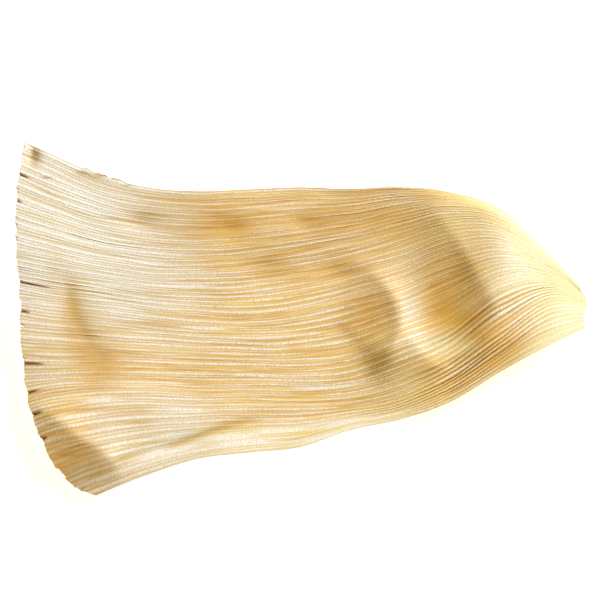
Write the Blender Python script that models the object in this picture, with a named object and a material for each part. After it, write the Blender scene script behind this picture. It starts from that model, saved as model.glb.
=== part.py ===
"""A dried corn husk, one leaf stripped from the cob, lying on a flat surface with its ribbed outer side up.

The wide end, cut off square and split along its ribs, is at -X and flares up at the back.
The husk sags onto the surface in the middle, arches up near +X and comes down again at its narrow end.
The frame is in metres with +Z up and its origin on the surface, under the middle of the husk.
"""

import math

import bmesh
import bpy
import numpy as np

MM = 0.001

# Driving sizes of the husk, in millimetres.
THICKNESS = 0.6
RIB_COUNT = 52
RIB_HEIGHT = 0.25

# The husk's outline and veins were read from a picture that looks down on it at this angle, so a "seen" distance
# across the husk is its plan distance times the sine of the angle, plus its height times the cosine.
SEEN_FROM = math.radians(60)

# Stations stand at equal pitches along X, from this first one on.
FIRST_STATION = -105.0
STATION_PITCH = 17.5

# Seven leading veins at equal parts of the husk's width, front edge first. Each row is the seen distance of that
# vein from the middle, in millimetres, at every station.
VEINS_SEEN = (
    (-72.8, -67.6, -59.9, -52.9, -47.4, -45.3, -43.4, -37.5, -33.8, -27.7, -17.3, -7.9, 0.3),
    (-42.0, -34.3, -31.2, -30.1, -30.5, -30.1, -30.1, -28.9, -25.4, -17.2, -4.9, 6.5, 5.1),
    (-13.0, -13.8, -13.8, -14.2, -14.9, -15.2, -15.4, -13.5, -6.7, -0.1, 11.9, 14.4, 5.0),
    (9.8, 6.7, 4.9, 2.8, 1.2, 0.7, 2.6, 6.7, 11.6, 18.6, 23.5, 18.7, 4.5),
    (25.2, 21.4, 18.2, 15.8, 15.3, 16.4, 18.9, 22.4, 27.0, 32.6, 32.2, 20.8, 4.5),
    (45.5, 39.2, 33.5, 30.8, 29.8, 30.8, 32.9, 35.2, 38.9, 41.3, 37.5, 22.2, 4.6),
    (67.0, 59.0, 51.3, 47.1, 45.9, 46.6, 47.3, 46.7, 47.4, 45.5, 39.7, 23.6, 4.9),
)

# Height of the same veins above the surface, at the same stations. Below zero, the husk is pressed flat on it.
VEIN_HEIGHTS = (
    (0.0, 0.5, 2.0, 3.6, 4.6, 4.8, 4.4, 4.0, 3.8, 4.0, 5.0, 5.5, 0.6),
    (3.0, 5.0, 4.5, 3.0, 2.2, 1.6, 1.2, 1.6, 3.6, 5.2, 9.6, 8.4, 0.8),
    (7.0, 5.8, 3.7, 1.7, 0.2, -0.6, -0.4, 0.8, 4.0, 6.8, 13.5, 9.5, 0.8),
    (11.5, 8.3, 4.6, 2.0, 0.2, -0.8, -0.6, 0.7, 2.9, 9.3, 15.7, 10.0, 0.8),
    (14.7, 10.8, 5.9, 3.0, 1.4, 0.7, 0.8, 2.1, 4.4, 10.5, 15.3, 9.7, 0.8),
    (17.4, 12.5, 7.5, 4.8, 3.4, 2.9, 3.2, 4.1, 6.0, 10.4, 13.6, 8.7, 0.6),
    (21.0, 15.1, 9.9, 7.0, 5.6, 5.0, 5.2, 6.2, 7.5, 8.5, 8.8, 6.5, 0.4),
)

# The wide end's cut and the narrow end, as the X at which each leading vein starts and stops.
WIDE_END = (-78.5, -92.2, -97.0, -98.3, -99.3, -99.6, -96.6)
NARROW_END = (99.2, 99.9, 99.8, 99.2, 98.4, 97.7, 97.0)

# The front corner of the cut is rounded off over this part of the width, by this many millimetres.
CORNER_PART = 0.1
CORNER_ROUND = 6.4

# Creases on the husk: seen places on the curve that each follows, its height (a valley is below zero), and how far
# it fades to the left of that curve and to the right, all in millimetres. A fold is never sharper than its radius.
FOLD_RADIUS = 0.9
CREASE_STEPS = 20
CREASES = (
    (((16.0, 22.5), (26.0, 16.5), (32.6, 9.0), (34.6, 1.0), (33.0, -7.0), (28.5, -14.0), (22.0, -19.5)),
     4.4, 6.0, 10.0),
    (((41.0, 46.0), (53.0, 32.0), (61.5, 18.0), (67.0, 7.5), (71.0, -4.0)), 1.9, 8.0, 8.0),
    (((34.0, -18.0), (45.5, -15.0), (55.0, -11.5), (61.5, -8.0), (67.0, -2.5), (74.0, 5.0)), 2.0, 3.5, 5.0),
    (((33.0, 3.0), (36.5, -3.0), (41.0, -9.5), (47.0, -15.0), (56.0, -19.0)), 2.1, 4.5, 12.0),
    (((-87.0, 30.0), (-82.3, 13.0), (-78.4, 0.7), (-73.5, -8.0), (-63.0, -19.5)), -1.3, 4.5, 12.0),
    (((-99.0, -22.0), (-91.5, -29.0), (-84.0, -34.3), (-77.5, -39.5), (-70.0, -44.5), (-64.5, -50.0), (-60.0, -60.0)),
     4.4, 9.0, 13.0),
    (((-70.0, -50.5), (-50.0, -44.6), (-38.0, -41.1), (-27.5, -37.2), (-14.0, -34.4), (10.0, -31.0)), -2.4, 2.2, 4.5),
)
CREASE_STARTS_OVER = 0.35
CREASE_STOPS_FROM = 0.7

# The ribs sink away over this stretch at the narrow end, and where they crowd together: the distances between ribs
# at which they have gone and at which they are whole.
RIBS_SINK_FROM = 60.0
RIBS_SINK_TO = 95.0
RIB_LEFT_AT_TIP = 0.2
RIBS_GONE_AT = 0.6
RIBS_WHOLE_AT = 1.2

# The front part of the width is gathered into pleats, one to a rib, which come and go over these stretches along the
# husk.
PLEAT_HEIGHT = 0.4
PLEATED_WIDTH = 0.36
PLEATS_FADE_ACROSS = 0.1
PLEATS_START = 28.0
PLEATS_FULL = 62.0
PLEATS_EASE = 76.0
PLEATS_STOP = 95.0

# Splits in the wide end, which run in along the ribs: place across the husk from 0 at the front edge to 1 at the
# back, how many rows of the mesh they run in, and their gap in millimetres.
SPLITS = (
    (0.58, 2, 0.9),
    (0.38, 1, 0.8),
    (0.22, 1, 0.8),
)
HUSK_WIDTH = 120.0

# Rows of the mesh: how far along the husk each stretch of even rows ends, and the number of rows in it.
ROW_STRETCHES = ((0.06, 2), (0.52, 6), (1.0, 14))
COLUMNS = 2 * RIB_COUNT
TOUCH = 1e-5


def curve_through(values, at):
    """The Catmull-Rom curve through evenly spaced values, read at a place counted in steps from the first."""
    values = np.asarray(values, float)
    last = len(values) - 1
    step = int(min(max(math.floor(at), 0), last - 1))
    t = at - step
    here, after = values[step], values[step + 1]
    before = values[step - 1] if step > 0 else 2 * here - after
    beyond = values[step + 2] if step + 2 <= last else 2 * after - here
    bend = 2 * before - 5 * here + 4 * after - beyond + t * (3 * (here - after) + beyond - before)
    return here + 0.5 * t * (after - before + t * bend)


def on_leading_veins(table, along, across):
    """A table of the leading veins, read at an X in millimetres and a place across from 0 to 1."""
    station = (along - FIRST_STATION) / STATION_PITCH
    by_vein = [curve_through(row, station) for row in table]
    return float(curve_through(by_vein, across * (len(table) - 1)))


def eased(value, low, high):
    """A smooth rise from 0 at low to 1 at high."""
    t = min(max((value - low) / (high - low), 0.0), 1.0)
    return t * t * (3 - 2 * t)


def crease_curve(line):
    """Points along the curve through the seen places of a crease."""
    steps = np.linspace(0, len(line) - 1, CREASE_STEPS)
    return np.array([[curve_through(values, at) for values in zip(*line)] for at in steps])


CREASE_CURVES = [crease_curve(crease[0]) for crease in CREASES]


def crease_height(along, seen):
    """The height that the creases add at a seen place."""
    total = 0.0
    for curve, (_, height, fade_left, fade_right) in zip(CREASE_CURVES, CREASES):
        runs = np.diff(curve, axis=0)
        lengths = np.hypot(runs[:, 0], runs[:, 1])
        out = np.array((along, seen)) - curve[:-1]
        shares = np.clip((out * runs).sum(axis=1) / lengths**2, 0, 1)
        gaps = out - shares[:, None] * runs
        distances = np.hypot(gaps[:, 0], gaps[:, 1])
        near = int(np.argmin(distances))
        to_left = (runs[near, 0] * out[near, 1] - runs[near, 1] * out[near, 0]) / lengths[near]
        lean = to_left / max(distances[near], FOLD_RADIUS)
        fade = (fade_left + fade_right) / 2 + lean * (fade_left - fade_right) / 2
        passed = (near + shares[near]) / (CREASE_STEPS - 1)
        taper = eased(passed, 0, CREASE_STARTS_OVER) * (1 - eased(passed, CREASE_STOPS_FROM, 1))
        total += height * taper * math.exp((FOLD_RADIUS - math.hypot(distances[near], FOLD_RADIUS)) / fade)
    return total


def rib_height(along, across):
    """The ribs, a crest at the middle of each, which deepen into pleats where the husk gathers at the front."""
    furrows = [on_leading_veins(VEINS_SEEN, along, across + side / RIB_COUNT) for side in (-0.5, 0.5)]
    apart = furrows[1] - furrows[0]
    whole = RIB_HEIGHT * (1 - (1 - RIB_LEFT_AT_TIP) * eased(along, RIBS_SINK_FROM, RIBS_SINK_TO))
    gathered = eased(along, PLEATS_START, PLEATS_FULL) * (1 - eased(along, PLEATS_EASE, PLEATS_STOP))
    gathered *= eased(PLEATED_WIDTH - across, 0, PLEATS_FADE_ACROSS) * eased(across, 0, PLEATS_FADE_ACROSS)
    deep = (whole + PLEAT_HEIGHT * gathered) * eased(apart, RIBS_GONE_AT, RIBS_WHOLE_AT)
    return -0.5 * deep * math.cos(2 * math.pi * RIB_COUNT * across)


def husk_point(part_way, across):
    """A point of the sheet's middle surface in millimetres, from the wide end (0) to the narrow end (1)."""
    at_vein = across * (len(WIDE_END) - 1)
    start = float(curve_through(WIDE_END, at_vein)) + CORNER_ROUND * max(1 - across / CORNER_PART, 0) ** 2
    end = float(curve_through(NARROW_END, at_vein))
    along = start + (end - start) * part_way
    seen = on_leading_veins(VEINS_SEEN, along, across)
    height = on_leading_veins(VEIN_HEIGHTS, along, across) + crease_height(along, seen)
    height = max(height + rib_height(along, across), THICKNESS / 2)
    plan = (seen - height * math.cos(SEEN_FROM)) / math.sin(SEEN_FROM)
    return along, plan, height


def row_places():
    """How far along the husk each row of the mesh stands, from 0 to 1."""
    places = [0.0]
    for end, count in ROW_STRETCHES:
        places.extend(np.linspace(places[-1], end, count + 1)[1:])
    return places


def flat_sheet(rows):
    """A grid whose X counts rows along the husk and whose Y is the place across it, from 0 to 1."""
    sheet = bmesh.new()
    bmesh.ops.create_grid(sheet, x_segments=rows, y_segments=COLUMNS, size=0.5)
    bmesh.ops.translate(sheet, verts=sheet.verts, vec=(0.5, 0.5, 0))
    bmesh.ops.scale(sheet, verts=sheet.verts, vec=(rows, 1, 1))
    return sheet


def open_splits(sheet):
    """Parts the sheet along a furrow at each split, and draws its lips aside, more towards the cut."""
    for place, deep, gap in SPLITS:
        line = round(place * RIB_COUNT) / RIB_COUNT
        on_line = [vert for vert in sheet.verts if abs(vert.co.y - line) < TOUCH and vert.co.x < deep + TOUCH]
        parted = [edge for edge in sheet.edges if all(vert in on_line for vert in edge.verts)]
        bmesh.ops.split_edges(sheet, edges=parted)
        for vert in sheet.verts:
            if abs(vert.co.y - line) < TOUCH and vert.co.x < deep - TOUCH:
                beside = sum(face.calc_center_median().y for face in vert.link_faces) / len(vert.link_faces)
                drawn = 0.5 * gap / HUSK_WIDTH * (1 - vert.co.x / deep)
                vert.co.y += math.copysign(drawn, beside - line)


def husk_mesh():
    """The husk's sheet without its thickness, centred over the origin."""
    places = row_places()
    sheet = flat_sheet(len(places) - 1)
    open_splits(sheet)
    points = [husk_point(places[round(vert.co.x)], vert.co.y) for vert in sheet.verts]
    middle = (np.min(points, axis=0) + np.max(points, axis=0)) / 2
    for vert, (along, plan, height) in zip(sheet.verts, points):
        vert.co = (MM * (along - middle[0]), MM * (plan - middle[1]), MM * height)
    mesh = bpy.data.meshes.new("husk")
    sheet.to_mesh(mesh)
    sheet.free()
    mesh.shade_smooth()
    return mesh


def straw_material():
    material = bpy.data.materials.new("dry_husk")
    material.use_nodes = True
    shader = material.node_tree.nodes["Principled BSDF"]
    shader.inputs["Base Color"].default_value = (0.76, 0.57, 0.29, 1)
    shader.inputs["Roughness"].default_value = 0.55
    shader.inputs["Metallic"].default_value = 0.0
    return material


def build():
    for obj in list(bpy.data.objects):
        bpy.data.objects.remove(obj)
    husk = bpy.data.objects.new("husk", husk_mesh())
    bpy.context.scene.collection.objects.link(husk)
    husk.data.materials.append(straw_material())
    skin = husk.modifiers.new("thickness", "SOLIDIFY")
    skin.thickness = THICKNESS * MM
    skin.offset = 0


build()
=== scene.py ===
import math

import bmesh
import bpy
import numpy as np
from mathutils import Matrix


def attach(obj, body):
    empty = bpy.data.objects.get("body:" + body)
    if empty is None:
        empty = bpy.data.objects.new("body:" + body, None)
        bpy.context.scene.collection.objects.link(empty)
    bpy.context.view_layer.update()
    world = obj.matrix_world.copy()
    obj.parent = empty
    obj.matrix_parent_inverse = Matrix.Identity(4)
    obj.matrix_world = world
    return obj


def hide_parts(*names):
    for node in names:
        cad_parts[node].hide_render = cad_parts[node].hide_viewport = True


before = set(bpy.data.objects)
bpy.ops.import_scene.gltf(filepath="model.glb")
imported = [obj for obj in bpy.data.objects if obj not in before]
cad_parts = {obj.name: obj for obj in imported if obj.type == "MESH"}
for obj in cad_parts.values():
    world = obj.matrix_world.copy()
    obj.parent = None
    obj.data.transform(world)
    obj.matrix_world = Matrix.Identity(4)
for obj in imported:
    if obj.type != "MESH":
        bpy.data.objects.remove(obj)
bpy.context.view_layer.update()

# The husk is one leaf that grew as one sheet: thin as paper, straw-coloured and stiffened by ribs along it.
# Its wide end was cut from the cob and has split along the ribs. As it dried, it sagged in the middle,
# creased, and arched near its narrow end.

# The husk's own sizes in millimetres, and the number of its ribs.
MM = 0.001
LEAF_THICKNESS = 0.22
RIBS = 52
RIB_HEIGHT = 0.152

# Its outline and veins, as seen by an eye that looks down on it at this angle. A seen distance across the
# husk is its plan distance times the sine of the angle, plus its height times the cosine.
SEEN_FROM = math.radians(60)

# Stations stand at equal pitches along the husk, from this first one on.
FIRST_STATION = -105.0
STATION_PITCH = 17.5
STATIONS = 13
STATIONS_LENGTH = STATION_PITCH * (STATIONS - 1)

# Seven leading veins at equal parts of the width, front edge first: their seen distances at the stations.
VEINS_SEEN = np.array((
    (-72.8, -67.6, -59.9, -52.9, -47.4, -45.3, -43.4, -37.5, -33.8, -27.7, -17.3, -7.9, 0.3),
    (-42.0, -34.3, -31.2, -30.1, -30.5, -30.1, -30.1, -28.9, -25.4, -17.2, -4.9, 6.5, 5.1),
    (-13.0, -13.8, -13.8, -14.2, -14.9, -15.2, -15.4, -13.5, -6.7, -0.1, 11.9, 14.4, 5.0),
    (9.8, 6.7, 4.9, 2.8, 1.2, 0.7, 2.6, 6.7, 11.6, 18.6, 23.5, 18.7, 4.5),
    (25.2, 21.4, 18.2, 15.8, 15.3, 16.4, 18.9, 22.4, 27.0, 32.6, 32.2, 20.8, 4.5),
    (45.5, 39.2, 33.5, 30.8, 29.8, 30.8, 32.9, 35.2, 38.9, 41.3, 37.5, 22.2, 4.6),
    (67.0, 59.0, 51.3, 47.1, 45.9, 46.6, 47.3, 46.7, 47.4, 45.5, 39.7, 23.6, 4.9),
))

# Height of the same veins above the surface that the husk lies on. Below zero, the husk is pressed flat.
VEIN_HEIGHTS = np.array((
    (0.0, 0.5, 2.0, 3.6, 4.6, 4.8, 4.4, 4.0, 3.8, 4.0, 5.0, 5.5, 0.6),
    (3.0, 5.0, 4.5, 3.0, 2.2, 1.6, 1.2, 1.6, 3.6, 5.2, 9.6, 8.4, 0.8),
    (7.0, 5.8, 3.7, 1.7, 0.2, -0.6, -0.4, 0.8, 4.0, 6.8, 13.5, 9.5, 0.8),
    (11.5, 8.3, 4.6, 2.0, 0.2, -0.8, -0.6, 0.7, 2.9, 9.3, 15.7, 10.0, 0.8),
    (14.7, 10.8, 5.9, 3.0, 1.4, 0.7, 0.8, 2.1, 4.4, 10.5, 15.3, 9.7, 0.8),
    (17.4, 12.5, 7.5, 4.8, 3.4, 2.9, 3.2, 4.1, 6.0, 10.4, 13.6, 8.7, 0.6),
    (21.0, 15.1, 9.9, 7.0, 5.6, 5.0, 5.2, 6.2, 7.5, 8.5, 8.8, 6.5, 0.4),
))

# Where each leading vein starts at the cut wide end, and stops at the narrow end.
WIDE_END = np.array((-78.5, -92.5, -97.2, -98.3, -99.5, -99.9, -97.1))
NARROW_END = np.array((99.2, 99.9, 99.8, 99.2, 98.4, 97.7, 97.0))

# Creases: seen places on the curve that each follows, its height (a valley is below zero), and how far it
# fades to the left of that curve and to the right. A fold is never sharper than its radius. A crease grows
# over the first part of its curve and dies out over the last.
FOLD_RADIUS = 0.9
CREASE_STEPS = 20
CREASE_GROWS = (0.0, 0.35)
CREASE_DIES_OUT = (0.7, 1.0)
CREASES = (
    (((16.0, 22.5), (26.0, 16.5), (32.6, 9.0), (34.6, 1.0), (33.0, -7.0), (28.5, -14.0), (22.0, -19.5)),
     4.4, 6.0, 10.0),
    (((41.0, 46.0), (53.0, 32.0), (61.5, 18.0), (67.0, 7.5), (71.0, -4.0)), 1.9, 8.0, 8.0),
    (((34.0, -18.0), (45.5, -15.0), (55.0, -11.5), (61.5, -8.0), (67.0, -2.5), (74.0, 5.0)), 2.0, 3.5, 5.0),
    (((33.0, 3.0), (36.5, -3.0), (41.0, -9.5), (47.0, -15.0), (56.0, -19.0)), 2.1, 4.5, 12.0),
    (((-87.0, 30.0), (-82.3, 13.0), (-78.4, 0.7), (-73.5, -8.0), (-63.0, -19.5)), -1.3, 4.5, 12.0),
    (((-99.0, -22.0), (-91.5, -29.0), (-84.0, -34.3), (-77.5, -39.5), (-70.0, -44.5), (-64.5, -50.0),
      (-60.0, -60.0)), 4.4, 9.0, 13.0),
    (((-70.0, -50.5), (-50.0, -44.6), (-38.0, -41.1), (-27.5, -37.2), (-14.0, -34.4), (10.0, -31.0)),
     -2.4, 2.2, 4.5),
    (((-94.6, 66.0), (-93.8, 60.0), (-92.8, 54.0)), -1.4, 1.8, 1.8),
)

# Dimples that the leaf dried into: seen place, depth, and reach along the husk, which is this many times
# the reach across it.
DIMPLE_STRETCH = 1.6
DIMPLES = (
    ((-56.0, 35.0), 0.9, 6.0),
    ((-24.5, 33.0), 0.8, 6.0),
    ((-12.0, 17.0), 0.9, 6.5),
    ((1.0, 34.5), 0.8, 5.5),
    ((13.0, 17.0), 0.7, 5.0),
    ((-36.0, 8.0), 0.5, 7.0),
    ((-40.0, -22.0), 0.5, 8.0),
)

# Splits in the cut end, along the ribs: place across the husk from 0 at the front edge to 1 at the back,
# length and gap.
SPLITS = (
    (0.558, 12.0, 0.06),
    (0.462, 3.5, 0.1),
    (0.423, 1.3, 1.6),
    (0.327, 8.4, 0.08),
    (0.25, 4.4, 0.1),
    (0.192, 4.0, 0.06),
    (0.135, 2.6, 0.05),
    (0.827, 1.6, 0.05),
    (0.904, 4.2, 0.05),
)

# The back lip of a split hangs lower than the front one, by this many times the distance that it has moved
# back, of which no more than this counts.
LIP_DROP = 3.0
DEEPEST_LIP = 0.4

# The mesh has a row about every 1.3 mm along the husk, and six columns to a rib, closest together at its
# crest and at the fine vein between it and the next.
ROWS = 148
RIB_COLUMNS = np.array((0.0, 0.13, 0.34, 0.5, 0.66, 0.87))
COLUMNS = RIBS * len(RIB_COLUMNS)
TOUCH = 1e-4


def sheet_of_veins():
    """The husk as a grid: X counts rows along it and Y columns across it. Z says how far each split opens
    there, in millimetres, and is below zero on its front lip."""
    sheet = bmesh.new()
    bmesh.ops.create_grid(sheet, x_segments=ROWS, y_segments=COLUMNS, size=0.5)
    bmesh.ops.translate(sheet, verts=sheet.verts, vec=(0.5, 0.5, 0))
    bmesh.ops.scale(sheet, verts=sheet.verts, vec=(ROWS, COLUMNS, 1))
    husk_length = NARROW_END[3] - WIDE_END[3]
    for place, length, gap in SPLITS:
        line = round(place * RIBS) * len(RIB_COLUMNS)
        deep = max(1, round(length / husk_length * ROWS))
        on_line = {vert for vert in sheet.verts if abs(vert.co.y - line) < TOUCH and vert.co.x < deep + TOUCH}
        parted = [edge for edge in sheet.edges if edge.verts[0] in on_line and edge.verts[1] in on_line]
        bmesh.ops.split_edges(sheet, edges=parted)
        for vert in sheet.verts:
            if abs(vert.co.y - line) < TOUCH and vert.co.x < deep - TOUCH:
                beside = sum(face.calc_center_median().y for face in vert.link_faces) / len(vert.link_faces)
                vert.co.z = math.copysign(0.5 * gap * (1 - vert.co.x / deep), beside - line)
    return sheet


def shares_of_values(at, count):
    """For places counted in steps from the first of count values, the share of each value in the Catmull-Rom
    curve through them. The values are taken to run on evenly past both ends."""
    at = np.asarray(at, float)
    step = np.clip(np.floor(at).astype(int), 0, count - 2)
    t = at - step
    place = np.arange(len(at))
    shares = np.zeros((len(at), count + 2))
    shares[place, step] = 0.5 * (-t + 2 * t**2 - t**3)
    shares[place, step + 1] = 0.5 * (2 - 5 * t**2 + 3 * t**3)
    shares[place, step + 2] = 0.5 * (t + 4 * t**2 - 3 * t**3)
    shares[place, step + 3] = 0.5 * (t**3 - t**2)
    inside = shares[:, 1:-1]
    inside[:, 0] += 2 * shares[:, 0]
    inside[:, 1] -= shares[:, 0]
    inside[:, -1] += 2 * shares[:, -1]
    inside[:, -2] -= shares[:, -1]
    return inside


def on_leading_veins(table, along, across):
    """A table of the leading veins, read at distances along the husk and places across it from 0 to 1."""
    by_station = shares_of_values((along - FIRST_STATION) / STATION_PITCH, STATIONS)
    by_vein = shares_of_values(across * (len(table) - 1), len(table))
    return np.einsum("ps,vs,pv->p", by_station, table, by_vein, optimize=True)


def eased(value, low, high):
    """A smooth rise from 0 at low to 1 at high."""
    t = np.clip((value - low) / (high - low), 0, 1)
    return t * t * (3 - 2 * t)


def crease_height(along, seen):
    """The height that the creases and dimples add at seen places."""
    total = np.zeros(len(along))
    for line, height, fade_left, fade_right in CREASES:
        curve = shares_of_values(np.linspace(0, len(line) - 1, CREASE_STEPS), len(line)) @ np.array(line)
        nearest = np.full(len(along), np.inf)
        to_left = np.zeros(len(along))
        passed = np.zeros(len(along))
        for step, (start, end) in enumerate(zip(curve, curve[1:])):
            run = end - start
            length = math.hypot(*run)
            share = np.clip(((along - start[0]) * run[0] + (seen - start[1]) * run[1]) / length**2, 0, 1)
            out_along = along - start[0] - share * run[0]
            out_seen = seen - start[1] - share * run[1]
            distance = np.hypot(out_along, out_seen)
            closer = distance < nearest
            nearest = np.where(closer, distance, nearest)
            to_left = np.where(closer, (run[0] * out_seen - run[1] * out_along) / length, to_left)
            passed = np.where(closer, (step + share) / (CREASE_STEPS - 1), passed)
        lean = to_left / np.maximum(nearest, FOLD_RADIUS)
        fade = (fade_left + fade_right) / 2 + lean * (fade_left - fade_right) / 2
        taper = eased(passed, *CREASE_GROWS) * (1 - eased(passed, *CREASE_DIES_OUT))
        total += height * taper * np.exp((FOLD_RADIUS - np.hypot(nearest, FOLD_RADIUS)) / fade)
    for (at_along, at_seen), depth, reach in DIMPLES:
        away = ((along - at_along) ** 2 + (DIMPLE_STRETCH * (seen - at_seen)) ** 2) / reach**2
        total -= depth * np.exp(-away)
    return total


# Every rib wanders a little, and is stronger in some stretches than in others. Each of these is read from a
# few seeded draws for each furrow or rib, along the length of the husk.
GROWTH_SEED = 7
growth = np.random.default_rng(GROWTH_SEED)
DRAWS_ALONG = 17
row_shares = shares_of_values(np.arange(ROWS + 1) / ROWS * (DRAWS_ALONG - 1), DRAWS_ALONG)
furrow_wander = growth.normal(0, 0.11, (DRAWS_ALONG, RIBS + 1))
furrow_wander[:, (0, RIBS)] = 0
furrow_place = (np.arange(RIBS + 1) + row_shares @ furrow_wander) / RIBS
rib_strength = row_shares @ growth.normal(1, 0.38, (DRAWS_ALONG, RIBS))
rib_strength *= growth.uniform(0.4, 1.35, RIBS)
rib_strength = np.clip(rib_strength, 0.25, 1.6)
fine_strength = np.clip(row_shares @ growth.normal(0.5, 0.3, (DRAWS_ALONG, RIBS)), 0, 0.95)

# The leaf's slow waves are read from a coarse grid of seeded draws.
WAVES_ALONG = 9
WAVES_ACROSS = 7
WAVE_HEIGHT = 0.28
waves = growth.normal(0, WAVE_HEIGHT, (WAVES_ACROSS, WAVES_ALONG))

# The cut end is chipped from rib to rib, by these distances in millimetres, and bulges between its splits.
# The narrow end is worn.
CHIP = 0.32
WORN = 0.3
CHIP_REACH = 5.0
LOBE = 0.6
chips = np.abs(growth.normal(0, CHIP, COLUMNS + 1)) * 0.5 + np.repeat(
    np.abs(growth.normal(0, CHIP, RIBS + 1)), len(RIB_COLUMNS)
)[: COLUMNS + 1]
worn_end = growth.normal(0, WORN, RIBS + 1)
split_places = np.sort([0, 1] + [place for place, length, gap in SPLITS])

# A rib is a narrow crest on a low slope on either side, and a fine vein runs between it and the next. The
# crest makes up this part of the rib's height, and the widths are shares of half a rib.
CREST_WIDTH = 0.24
CREST_PART = 0.85
FINE_VEIN_WIDTH = 0.16

# The ribs stand higher on the arch and at the wide end, and lose most of their height at the narrow end.
# The pairs are distances along the husk over which that comes about, counted towards the wide end in the
# second one.
RIBS_RAISED = 0.35
RAISED_ON_ARCH = (15.0, 45.0)
RAISED_AT_WIDE_END = (50.0, 75.0)
RIBS_LOST = 0.7
LOST_AT_NARROW_END = (62.0, 95.0)

# The ribs of the arch are more alike than the others: they come near to this strength, by this share.
ALIKE_STRENGTH = 0.85
ALIKE_SHARE = 0.6
ALIKE_FROM = (15.0, 40.0)
ALIKE_TO = (66.0, 85.0)

# The fine veins are weaker from the middle on.
FINE_VEINS_LOST = 0.3
FINE_VEINS_FADE = (-70.0, 0.0)

# Where the ribs crowd together, every other one dies out, then every other one of the rest, and then all:
# the distances between ribs, in millimetres, at which they have gone and at which they are whole.
RIBS_HALVED = (0.62, 0.95)
RIBS_QUARTERED = (0.33, 0.5)
RIBS_ENDED = (0.14, 0.35)

# Towards the front edge of the arch the leaf is gathered into pleats, one to a rib. Their furrows sink by
# this share of their height. They grow and die out over these distances along the husk.
PLEAT_HEIGHT = 0.5
PLEATS_SUNK = 0.4
PLEATED_WIDTH = 0.36
PLEATS_FADE_ACROSS = 0.1
PLEATS_GROW = (28.0, 62.0)
PLEATS_DIE_OUT = (76.0, 95.0)
pleat_strength = np.clip(row_shares @ growth.normal(0.8, 0.5, (DRAWS_ALONG, RIBS)), 0.1, 1.8)

# The front corner of the cut end is rounded off over this part of the width, by this many millimetres.
CORNER_PART = 0.1
CORNER_ROUND = 6.4

# The back edge is frayed where it rises to the corner, over this part of a rib. Two waves that beat
# together make its frayed line.
FRAY_FROM = -78.0
FRAY_TO = -60.0
FRAY_FADE = 3.0
FRAY = 1.2
FRAYED_PART = 0.8
FRAY_WAVES = (1.9, 0.83)

# Where the husk is pressed flat on the surface, the middle of its thickness lies this high, and it curves
# up from there this sharply.
LOWEST = LEAF_THICKNESS * 0.6
PRESSED_SHARPNESS = 3.0


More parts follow.
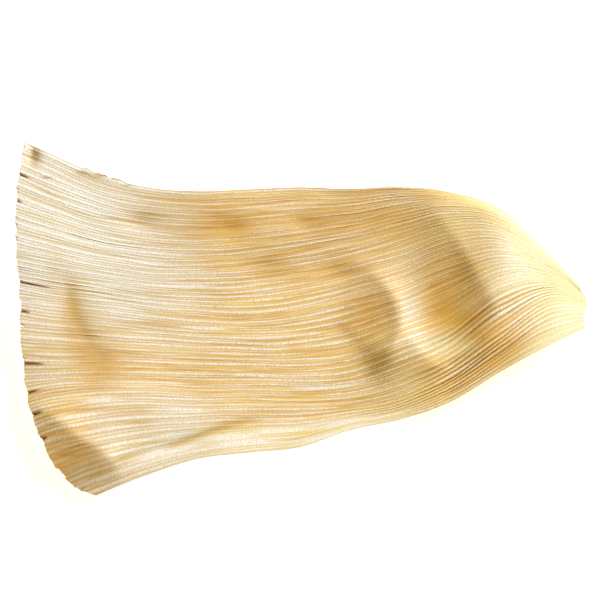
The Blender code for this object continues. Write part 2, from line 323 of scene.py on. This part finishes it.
def husk_points(row, column, opened):
    """The middle surface of the husk in millimetres at counted rows and columns. With it come the seen
    distance, the place across the husk, its pale crests with painted highlights, and the painted shade of its
    pleats' furrows, from 0 to 1."""
    row_number = np.rint(row).astype(int)
    column_number = np.rint(column).astype(int)
    rib = np.minimum(column_number // len(RIB_COLUMNS), RIBS - 1)
    in_rib = np.append(RIB_COLUMNS, 1.0)[column_number - rib * len(RIB_COLUMNS)]
    front, back = furrow_place[row_number, rib], furrow_place[row_number, rib + 1]
    across = front + in_rib * (back - front)

    at_vein = shares_of_values(across * (len(WIDE_END) - 1), len(WIDE_END))
    start = at_vein @ WIDE_END
    end = at_vein @ NARROW_END + shares_of_values(across * RIBS, RIBS + 1) @ worn_end
    start += CORNER_ROUND * np.clip(1 - across / CORNER_PART, 0, 1) ** 2
    along = start + (end - start) * row / ROWS
    lobe = np.clip(np.searchsorted(split_places, across, "right"), 1, len(split_places) - 1)
    in_lobe = (across - split_places[lobe - 1]) / (split_places[lobe] - split_places[lobe - 1])
    bulge = LOBE * (1 - np.sin(math.pi * np.clip(in_lobe, 0, 1)) ** 0.5)
    along += (chips[column_number] + bulge) * np.exp(-(along - start) / CHIP_REACH)
    seen = on_leading_veins(VEINS_SEEN, along, across)

    height = on_leading_veins(VEIN_HEIGHTS, along, across) + crease_height(along, seen)
    by_along = shares_of_values((along - FIRST_STATION) / STATIONS_LENGTH * (WAVES_ALONG - 1), WAVES_ALONG)
    by_across = shares_of_values(across * (WAVES_ACROSS - 1), WAVES_ACROSS)
    height += np.einsum("ps,vs,pv->p", by_along, waves, by_across, optimize=True)

    gathered = eased(along, *PLEATS_GROW) * (1 - eased(along, *PLEATS_DIE_OUT))
    gathered *= eased(PLEATED_WIDTH - across, 0, PLEATS_FADE_ACROSS) * eased(across, 0, PLEATS_FADE_ACROSS)
    from_crest = np.abs(in_rib - 0.5) * 2
    pleated = gathered * eased(1 - from_crest, 0, 1) * pleat_strength[row_number, rib]
    height += PLEAT_HEIGHT * (pleated - PLEATS_SUNK * gathered)
    height = LOWEST + np.logaddexp(0, (height - LOWEST) * PRESSED_SHARPNESS) / PRESSED_SHARPNESS

    profile = CREST_PART * np.exp(-((from_crest / CREST_WIDTH) ** 2)) + (1 - CREST_PART) * (1 - from_crest)
    half_rib = 0.5 / RIBS
    apart, risen = (
        on_leading_veins(table, along, across + half_rib) - on_leading_veins(table, along, across - half_rib)
        for table in (VEINS_SEEN, VEIN_HEIGHTS)
    )
    apart_in_plan = (apart - risen * math.cos(SEEN_FROM)) / math.sin(SEEN_FROM)
    living = eased(np.hypot(apart_in_plan, risen), *RIBS_ENDED)
    living *= np.where(rib % 2 == 1, eased(apart, *RIBS_HALVED), 1.0)
    living *= np.where(rib % 4 == 2, eased(apart, *RIBS_QUARTERED), 1.0)
    strength = rib_strength[row_number, rib]
    alike = ALIKE_SHARE * eased(along, *ALIKE_FROM) * (1 - eased(along, *ALIKE_TO))
    strength += (ALIKE_STRENGTH - strength) * alike
    crest = profile * strength * living
    between = np.exp(-(((1 - from_crest) / FINE_VEIN_WIDTH) ** 2)) * fine_strength[row_number, rib]
    between *= 1 - FINE_VEINS_LOST * eased(along, *FINE_VEINS_FADE)
    between *= (1 - gathered) * eased(apart, *RIBS_HALVED)
    raised = 1 + RIBS_RAISED * (eased(along, *RAISED_ON_ARCH) + eased(-along, *RAISED_AT_WIDE_END))
    raised *= 1 - RIBS_LOST * eased(along, *LOST_AT_NARROW_END)
    height += RIB_HEIGHT * (crest + between) * raised

    frayed = FRAY * np.exp(-((1 - across) * RIBS / FRAYED_PART) ** 2)
    frayed *= eased(along, FRAY_FROM, FRAY_FROM + FRAY_FADE)
    frayed *= 1 - eased(along, FRAY_TO - FRAY_FADE, FRAY_TO)
    seen = seen + frayed * (0.5 + 0.5 * np.sin(along * FRAY_WAVES[0]) * np.sin(along * FRAY_WAVES[1] + 1))
    height -= LIP_DROP * np.clip(opened, 0, DEEPEST_LIP)
    plan = (seen - height * math.cos(SEEN_FROM)) / math.sin(SEEN_FROM) + opened

    # The crests are pale, less so on the pleats and at the narrow end. Their white is partly a painted
    # highlight, and a painted highlight runs along the ridges of the pleats.
    pale_crests_and_highlights = np.maximum((crest + between) * (1 - 0.3 * gathered), 0.8 * pleated**2 * living)
    pale_crests_and_highlights *= 1 - 0.3 * eased(along, 72, 92)
    return np.stack([along, plan, height], axis=1), seen, across, pale_crests_and_highlights, gathered - pleated


sheet = sheet_of_veins()
husk_data = bpy.data.meshes.new("husk_leaf")
sheet.to_mesh(husk_data)
sheet.free()
counted = np.empty(len(husk_data.vertices) * 3, np.float32)
husk_data.vertices.foreach_get("co", counted)
row, column, opened = counted.reshape(-1, 3).astype(float).T
points, seen, across, crest, pleat_furrow_shade = husk_points(row, column, opened)

# The leaf is centred over the origin, as its frame is.
middle = (points.min(axis=0) + points.max(axis=0)) / 2
points -= (middle[0], middle[1], 0)
husk_data.vertices.foreach_set("co", (points * MM).astype(np.float32).ravel())
husk_data.update()
along = points[:, 0] + middle[0]


def painted(name, values):
    """Keeps a value from 0 to 1 for every point of the leaf, which its material reads by name."""
    layer = husk_data.attributes.new(name, "FLOAT", "POINT")
    layer.data.foreach_set("value", np.clip(values, 0, 1).astype(np.float32))


def spots(places):
    """The sum of soft spots on the leaf: the seen place, reach along and across, and strength of each."""
    total = np.zeros(len(along))
    for (at_along, at_seen), reach_along, reach_across, strength in places:
        away = ((along - at_along) / reach_along) ** 2 + ((seen - at_seen) / reach_across) ** 2
        total += strength * np.exp(-away)
    return total


# The tissue is almost white at the flared wide end and in a few spots, and pale along the front margin and
# at the narrow end, but not on the pleats. Its white at the wide end is partly a painted reflection. The
# margin is this part of the width.
MARGIN = 0.13
pale_and_highlight = eased(-along, 20, 70) * eased(across, 0.25, 0.62)
margin = eased(MARGIN - across, 0, 0.06) * eased(along, -75, -45) * (1 - eased(along, 30, 50))
pale_and_highlight += 0.45 * margin * eased(along, -58, -35)
pale_and_highlight += 0.5 * eased(0.3 - across, 0, 0.15) * eased(along, -80, -65) * (1 - eased(along, -45, -20))
not_pleated = 1 - 0.9 * spots([((67.0, -10.0), 13.0, 9.0, 1.0)])
pale_and_highlight += 0.7 * eased(along, 58, 82) * not_pleated
# Painted highlights: the spots on and below the arch and the one at the front corner.
pale_and_highlight += spots([
    ((49.7, -8.5), 10.0, 3.8, 0.9),
    ((57.0, -9.5), 6.0, 2.6, 0.6),
    ((38.5, 5.0), 4.0, 7.0, 0.6),
    ((-76.3, -52.9), 4.0, 4.0, 0.9),
    ((-88.0, -16.0), 10.0, 9.0, 0.3),
    ((40.0, -21.0), 8.0, 4.0, 0.3),
])

# It is golden where the leaf dried last, and cream at the narrow end and a little on the margin.
golden = spots([
    ((68.0, -11.0), 14.0, 9.0, 1.0),
    ((45.0, -22.0), 14.0, 8.0, 0.8),
    ((54.0, 10.0), 10.0, 15.0, 0.7),
    ((39.0, 32.0), 13.0, 8.0, 0.6),
    ((2.0, -38.5), 7.0, 1.2, 1.0),
    ((14.0, -37.5), 10.0, 1.0, 0.8),
    ((30.0, -30.0), 12.0, 5.0, 0.5),
    ((24.0, -3.0), 8.0, 7.0, 0.6),
    ((27.0, -12.0), 6.0, 6.0, 0.5),
    ((-25.0, -37.0), 12.0, 2.0, 0.6),
    ((50.0, -9.0), 11.0, 4.5, 0.4),
    ((57.0, 1.0), 9.0, 4.0, 0.6),
    ((-25.0, 32.0), 9.0, 5.0, 0.5),
    ((-79.5, 4.0), 4.0, 10.0, 0.4),
])
cream = eased(along, 60, 84) * not_pleated + 0.35 * margin + spots([
    ((58.0, 37.0), 13.0, 6.0, 0.6),
    ((53.0, -9.0), 12.0, 4.5, 0.35),
    ((40.0, -22.0), 10.0, 5.0, 0.3),
])

# Stains, from the damp and the sun. Those over the dimples, in the curl at the back corner, on the front
# corner, on the dark slopes of the arch and in the pleats are partly painted shade.
stain_and_shade = spots([
    ((-80.0, 5.0), 3.8, 10.0, 0.8),
    ((-75.5, -5.0), 4.8, 9.0, 0.6),
    ((-69.0, -15.0), 8.0, 8.0, 0.7),
    ((-86.0, 18.0), 3.0, 8.0, 0.35),
    ((-93.2, 58.5), 1.6, 4.0, 1.0),
    ((-70.0, 51.5), 9.0, 1.6, 0.8),
    ((-24.5, 33.0), 11.0, 4.5, 0.75),
    ((-35.0, 38.0), 22.0, 8.0, 0.45),
    ((-10.0, 20.0), 9.0, 5.0, 0.55),
    ((3.0, 35.0), 10.0, 4.0, 0.5),
    ((13.0, 18.0), 7.0, 5.0, 0.5),
    ((-56.0, 36.0), 7.0, 3.0, 0.45),
    ((26.0, 36.0), 20.0, 8.0, 0.5),
    ((-78.0, -48.0), 14.0, 11.0, 0.85),
    ((24.0, 4.0), 9.0, 9.0, 0.6),
    ((25.0, 18.5), 5.0, 4.0, 0.1),
    ((49.0, 5.0), 6.0, 8.0, 0.5),
    ((52.0, 12.0), 11.0, 16.0, 0.45),
    ((57.0, 1.5), 8.0, 3.5, 0.35),
    ((70.0, -8.0), 9.0, 8.0, 0.5),
])

# The fold along the front margin has painted shade along its bottom, over this distance on either side of
# these seen places.
FOLD_ALONG = (-46.0, -42.0, -36.8, -30.0, -25.0, -18.0, -14.0)
FOLD_SEEN = (-43.4, -42.2, -40.2, -37.8, -36.6, -35.1, -34.7)
FOLD_SHADE_REACH = 1.3
from_fold = (seen - np.interp(along, FOLD_ALONG, FOLD_SEEN)) / FOLD_SHADE_REACH
stain_and_shade += np.exp(-from_fold**2) * eased(along, -50, -42) * (1 - eased(along, -28, -12))

# The lips of the splits are browned over this many millimetres of a leaf that is about this wide, and the
# brown is partly painted shade in the splits. So are a few specks and the frayed back edge; the speck in the
# curl at the back corner is painted shade.
BROWNED = 0.4
LEAF_WIDTH = 110.0
torn_and_shaded = spots([
    ((-88.9, 50.6), 1.6, 0.4, 0.7),
    ((-60.0, 48.0), 1.4, 0.5, 0.5),
    ((-98.3, 42.2), 0.6, 0.6, 0.9),
    ((-92.8, 58.5), 1.5, 3.2, 0.5),
    ((-75.9, 52.5), 2.0, 0.8, 0.5),
    ((-70.0, 51.4), 2.4, 0.7, 0.5),
    ((-64.0, 50.2), 2.0, 0.6, 0.45),
    ((-79.5, -46.0), 4.5, 0.6, 0.25),
])
for place, length, gap in SPLITS:
    from_line = np.abs(across - round(place * RIBS) / RIBS) * LEAF_WIDTH
    ran_in = np.clip(row / ROWS * (NARROW_END[3] - WIDE_END[3]) / length, 0, 1)
    browned = BROWNED * (1.2 - 0.6 * ran_in)
    torn_and_shaded = np.maximum(torn_and_shaded, np.exp(-((from_line / browned) ** 4)) * (1 - ran_in**6))

# Streaks painted white along the ribs as highlights, nearly half of them on the front margin: distance
# along, place across, reach along, width and strength.
HIGHLIGHT_STREAKS = (
    (-24.0, 0.062, 8.0, 0.011, 1.0),
    (-20.0, 0.038, 10.0, 0.008, 1.0),
    (-46.0, 0.045, 10.0, 0.01, 1.0),
    (-42.0, 0.085, 8.0, 0.008, 0.9),
    (-6.0, 0.078, 10.0, 0.008, 1.0),
    (15.0, 0.064, 8.0, 0.014, 1.0),
    (12.0, 0.014, 12.0, 0.01, 1.0),
    (30.0, 0.05, 8.0, 0.009, 1.0),
    (-58.0, 0.722, 12.0, 0.006, 0.8),
    (-40.0, 0.634, 12.0, 0.005, 0.9),
    (-33.0, 0.465, 9.0, 0.006, 0.9),
    (-15.0, 0.297, 12.0, 0.006, 0.9),
    (11.0, 0.248, 12.0, 0.006, 0.9),
    (-39.0, 0.163, 9.0, 0.007, 0.9),
    (-70.0, 0.2, 8.0, 0.01, 0.6),
    (36.0, 0.885, 8.0, 0.007, 0.9),
    (44.0, 0.82, 8.0, 0.005, 0.8),
    (50.0, 0.77, 9.0, 0.006, 0.9),
)
for at_along, at_across, reach, width, strength in HIGHLIGHT_STREAKS:
    away = ((along - at_along) / reach) ** 2 + ((across - at_across) / width) ** 2
    crest = np.maximum(crest, strength * np.exp(-away))

# The painted shade in the furrows of the pleats is lighter where the pleats begin.
pleat_furrow_shade *= 1 - 0.8 * spots([((50.0, -9.0), 12.0, 5.0, 1.0)])

painted("crest", crest)
painted("pale_and_highlight", pale_and_highlight)
painted("stain_and_shade", stain_and_shade)
painted("torn_and_shaded", torn_and_shaded)
painted("pleat_furrow_shade", pleat_furrow_shade)
painted("cream", cream)
painted("golden", golden)

# A map that runs along the veins in its first direction and across them in its second.
vein_map = husk_data.uv_layers.new(name="veins")
corner_points = np.empty(len(husk_data.loops), np.int32)
husk_data.loops.foreach_get("vertex_index", corner_points)
places = np.stack([(along - FIRST_STATION) / STATIONS_LENGTH, across], axis=1)[corner_points]
vein_map.data.foreach_set("uv", places.astype(np.float32).ravel())
husk_data.shade_smooth()

# The leaf has its thickness, and its torn and cut rims are sharp.
RIM_ANGLE = math.radians(75)
husk = bpy.data.objects.new("husk_leaf", husk_data)
bpy.context.scene.collection.objects.link(husk)
leaf = husk.modifiers.new("leaf thickness", "SOLIDIFY")
leaf.thickness = LEAF_THICKNESS * MM
leaf.offset = 0
rim = husk.modifiers.new("sharp rim", "EDGE_SPLIT")
rim.split_angle = RIM_ANGLE


def linear(red, green, blue):
    """A colour given as it looks on a screen, from 0 to 255."""
    shares = [value / 255 for value in (red, green, blue)]
    return [((share + 0.055) / 1.055) ** 2.4 if share > 0.04 else share / 12.92 for share in shares] + [1.0]


# The depth of its grain in millimetres, and its colours. The last three tint the colours under them.
GRAIN_DEPTH = 0.12
TAN = linear(202, 158, 78)
STRAW = linear(235, 206, 133)
FINE_STREAK = linear(250, 234, 182)
PALE_FURROW = linear(190, 165, 106)
PALE_AND_HIGHLIGHT = linear(241, 246, 242)
CREAM = linear(252, 241, 178)
CREST_AND_HIGHLIGHT = linear(254, 255, 252)
BLEACHED_AND_HIGHLIGHT = linear(234, 245, 244)
GRAIN = linear(206, 158, 84)
BROWNED_LIP_AND_SHADE = linear(122, 70, 6)
STAIN_AND_SHADE = linear(224, 194, 122)
PLEAT_FURROW_SHADE = linear(222, 172, 76)
GOLDEN = linear(255, 249, 210)


def dry_husk_material():
    """Satin straw: pale rib crests over tan furrows, streaked along the veins, crossed by fine short veins,
    with the pale, cream, golden, stained and browned places painted on the leaf. Painted highlights and
    shade are among them."""
    material = bpy.data.materials.new("dry_husk")
    material.use_nodes = True
    nodes, links = material.node_tree.nodes, material.node_tree.links
    shader = nodes["Principled BSDF"]

    def streaks(per_along, per_across, detail, distortion=0.0):
        """A noise with this many waves along the whole husk and across it."""
        scaled = nodes.new("ShaderNodeMapping")
        scaled.inputs["Scale"].default_value = (per_along, per_across, 1)
        links.new(veins.outputs["UV"], scaled.inputs["Vector"])
        noise = nodes.new("ShaderNodeTexNoise")
        noise.noise_dimensions = "2D"
        noise.inputs["Scale"].default_value = 1.0
        noise.inputs["Detail"].default_value = detail
        noise.inputs["Distortion"].default_value = distortion
        links.new(scaled.outputs["Vector"], noise.inputs["Vector"])
        return noise.outputs["Fac"]

    def ranged(value, low, high, to_low=0.0, to_high=1.0):
        mapped = nodes.new("ShaderNodeMapRange")
        mapped.inputs["From Min"].default_value = low
        mapped.inputs["From Max"].default_value = high
        mapped.inputs["To Min"].default_value = to_low
        mapped.inputs["To Max"].default_value = to_high
        links.new(value, mapped.inputs["Value"])
        return mapped.outputs["Result"]

    def maths(operation, first, second):
        made = nodes.new("ShaderNodeMath")
        made.operation = operation
        for socket, value in zip(made.inputs, (first, second)):
            if isinstance(value, float):
                socket.default_value = value
            else:
                links.new(value, socket)
        return made.outputs["Value"]

    def tinted(share, under, over, blend="MIX"):
        mixed = nodes.new("ShaderNodeMix")
        mixed.data_type = "RGBA"
        mixed.blend_type = blend
        links.new(share, mixed.inputs["Factor"])
        for socket, colour in ((mixed.inputs["A"], under), (mixed.inputs["B"], over)):
            if isinstance(colour, list):
                socket.default_value = colour
            else:
                links.new(colour, socket)
        return mixed.outputs["Result"]

    def painted_on(name):
        attribute = nodes.new("ShaderNodeAttribute")
        attribute.attribute_name = name
        return attribute.outputs["Fac"]

    veins = nodes.new("ShaderNodeUVMap")
    veins.uv_map = "veins"

    # Furrows, from tan to straw by broad streaks, under pale crests that carry a painted highlight. Pale
    # places keep thin tan lines.
    crest = painted_on("crest")
    broad = ranged(streaks(6.0, 70.0, 3.0, 0.3), 0.3, 0.7)
    colour = tinted(broad, TAN, STRAW)
    fine = ranged(streaks(24.0, 230.0, 3.0), 0.32, 0.68)
    colour = tinted(maths("MULTIPLY", fine, 0.42), colour, FINE_STREAK)
    cloud = streaks(6.0, 4.0, 3.0, 0.4)
    pale_and_highlight_share = maths("MULTIPLY", painted_on("pale_and_highlight"), ranged(cloud, 0.2, 0.7, 0.6, 1.0))
    colour = tinted(maths("MULTIPLY", pale_and_highlight_share, 0.9), colour, PALE_FURROW)
    above_line = ranged(crest, 0.05, 0.17, 0.1, 1.0)
    colour = tinted(maths("MULTIPLY", pale_and_highlight_share, maths("MULTIPLY", above_line, 0.9)), colour, PALE_AND_HIGHLIGHT)
    colour = tinted(maths("MULTIPLY", painted_on("cream"), 0.75), colour, CREAM)
    beads = ranged(streaks(240.0, 70.0, 1.0), 0.35, 0.65, 0.55, 1.0)
    crest_share = maths("MULTIPLY", ranged(crest, 0.18, 0.6), beads)
    # The painted highlight on the crests fades where stains and painted shade lie.
    crest_share = maths("MULTIPLY", crest_share, ranged(painted_on("stain_and_shade"), 0, 0.8, 1.0, 0.42))
    colour = tinted(crest_share, colour, CREST_AND_HIGHLIGHT)

    # Bleached places, stains, the furrows of the pleats, golden places, grain, and browned tears. The
    # bleached places hold painted highlights, the pleats' furrows are painted shade, and the stains and tears
    # are partly painted shade.
    colour = tinted(maths("MULTIPLY", pale_and_highlight_share, 0.2), colour, BLEACHED_AND_HIGHLIGHT)
    stain_and_shade_share = maths("MULTIPLY", painted_on("stain_and_shade"), ranged(cloud, 0.75, 0.3, 0.7, 1.0))
    stain_and_shade_share = maths("MULTIPLY", stain_and_shade_share, ranged(broad, 0, 1, 1.0, 0.85))
    colour = tinted(stain_and_shade_share, colour, STAIN_AND_SHADE, "MULTIPLY")
    colour = tinted(maths("MULTIPLY", painted_on("pleat_furrow_shade"), 0.4), colour, PLEAT_FURROW_SHADE, "MULTIPLY")
    colour = tinted(painted_on("golden"), colour, GOLDEN, "MULTIPLY")
    grain = streaks(330.0, 230.0, 1.0)
    colour = tinted(ranged(grain, 0.44, 0.68, 0.0, 0.36), colour, GRAIN)
    torn_and_shaded = painted_on("torn_and_shaded")
    colour = tinted(torn_and_shaded, colour, BROWNED_LIP_AND_SHADE)
    links.new(colour, shader.inputs["Base Color"])

    # Satin: glossier on the crests, and matt where it is torn.
    links.new(ranged(crest, 0.0, 1.0, 0.55, 0.36), shader.inputs["Roughness"])
    gloss = maths("MULTIPLY", ranged(crest, 0.0, 0.6, 0.15, 0.5), ranged(torn_and_shaded, 0.0, 0.7, 1.0, 0.0))
    links.new(gloss, shader.inputs["Specular IOR Level"])

    # Fine veins along the husk, short ones across it, and grain.
    crossing = streaks(420.0, 60.0, 1.0)
    relief = maths("ADD", maths("MULTIPLY", fine, 0.8), maths("MULTIPLY", crossing, 1.0))
    relief = maths("ADD", relief, maths("MULTIPLY", grain, 0.4))
    bump = nodes.new("ShaderNodeBump")
    bump.inputs["Strength"].default_value = 0.55
    bump.inputs["Distance"].default_value = GRAIN_DEPTH * MM
    links.new(relief, bump.inputs["Height"])
    links.new(bump.outputs["Normal"], shader.inputs["Normal"])
    return material


husk_data.materials.append(dry_husk_material())
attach(husk, "root")
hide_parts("husk")

# The table is a plain board, painted matt white and evenly lit, so that it shows paler than its paint. The
# husk lies loose on it.
FLOOR_SIZE = 4.0
FLOOR_PAINT = (0.92, 0.92, 0.91, 1)
FLOOR_GLOW = 0.7
floor_sheet = bmesh.new()
bmesh.ops.create_grid(floor_sheet, x_segments=1, y_segments=1, size=FLOOR_SIZE / 2)
floor_data = bpy.data.meshes.new("floor")
floor_sheet.to_mesh(floor_data)
floor_sheet.free()
floor = bpy.data.objects.new("floor", floor_data)
bpy.context.scene.collection.objects.link(floor)
white_board = bpy.data.materials.new("white_board")
white_board.use_nodes = True
paint = white_board.node_tree.nodes["Principled BSDF"]
paint.inputs["Base Color"].default_value = FLOOR_PAINT
paint.inputs["Roughness"].default_value = 0.9
paint.inputs["Emission Color"].default_value = (1, 1, 1, 1)
paint.inputs["Emission Strength"].default_value = FLOOR_GLOW
floor_data.materials.append(white_board)

# The camera looks down on the husk from the front with a long lens. The picture is this wide at the husk,
# in millimetres, and its middle is at this seen distance.
PICTURE_WIDTH = 210.0
PICTURE_MIDDLE_SEEN = 7.7
LENS = 900.0
SENSOR_WIDTH = 36.0
FARTHEST_SEEN = 100.0
camera_data = bpy.data.cameras.new("camera")
camera_data.lens = LENS
camera_data.sensor_width = SENSOR_WIDTH
camera = bpy.data.objects.new("camera", camera_data)
bpy.context.scene.collection.objects.link(camera)
aim = np.array((-middle[0], PICTURE_MIDDLE_SEEN / math.sin(SEEN_FROM) - middle[1], 0.0)) * MM
camera_distance = PICTURE_WIDTH * MM * LENS / SENSOR_WIDTH
camera.location = aim + camera_distance * np.array((0, -math.cos(SEEN_FROM), math.sin(SEEN_FROM)))
camera.rotation_euler = (math.pi / 2 - SEEN_FROM, 0, 0)
camera_data.clip_end = FARTHEST_SEEN
bpy.context.scene.camera = camera


def soft_light(name, azimuth, elevation, distance, size, power, colour):
    """A square light panel that faces the middle of the husk. Azimuth is from +X towards +Y, in degrees."""
    data = bpy.data.lights.new(name, "AREA")
    data.size = size
    data.energy = power
    data.color = colour
    lamp = bpy.data.objects.new(name, data)
    turn, tilt = math.radians(azimuth), math.radians(elevation)
    lamp.location = (
        distance * math.cos(tilt) * math.cos(turn),
        distance * math.cos(tilt) * math.sin(turn),
        distance * math.sin(tilt),
    )
    lamp.rotation_euler = (math.pi / 2 - tilt, 0, turn + math.pi / 2)
    bpy.context.scene.collection.objects.link(lamp)
    return lamp


# The key light comes from the back of the narrow end. A large warm panel over the wide end fills the shade.
soft_light("key", 42, 38, 1.1, 0.24, 14.0, (0.96, 0.975, 1.0))
soft_light("fill", 200, 62, 1.6, 1.6, 4.5, (1.0, 0.78, 0.43))
world = bpy.data.worlds.new("studio")
world.use_nodes = True
world.node_tree.nodes["Background"].inputs["Color"].default_value = (1.0, 0.8, 0.5, 1)
world.node_tree.nodes["Background"].inputs["Strength"].default_value = 0.3
bpy.context.scene.world = world
bpy.context.scene.view_settings.view_transform = "Standard"
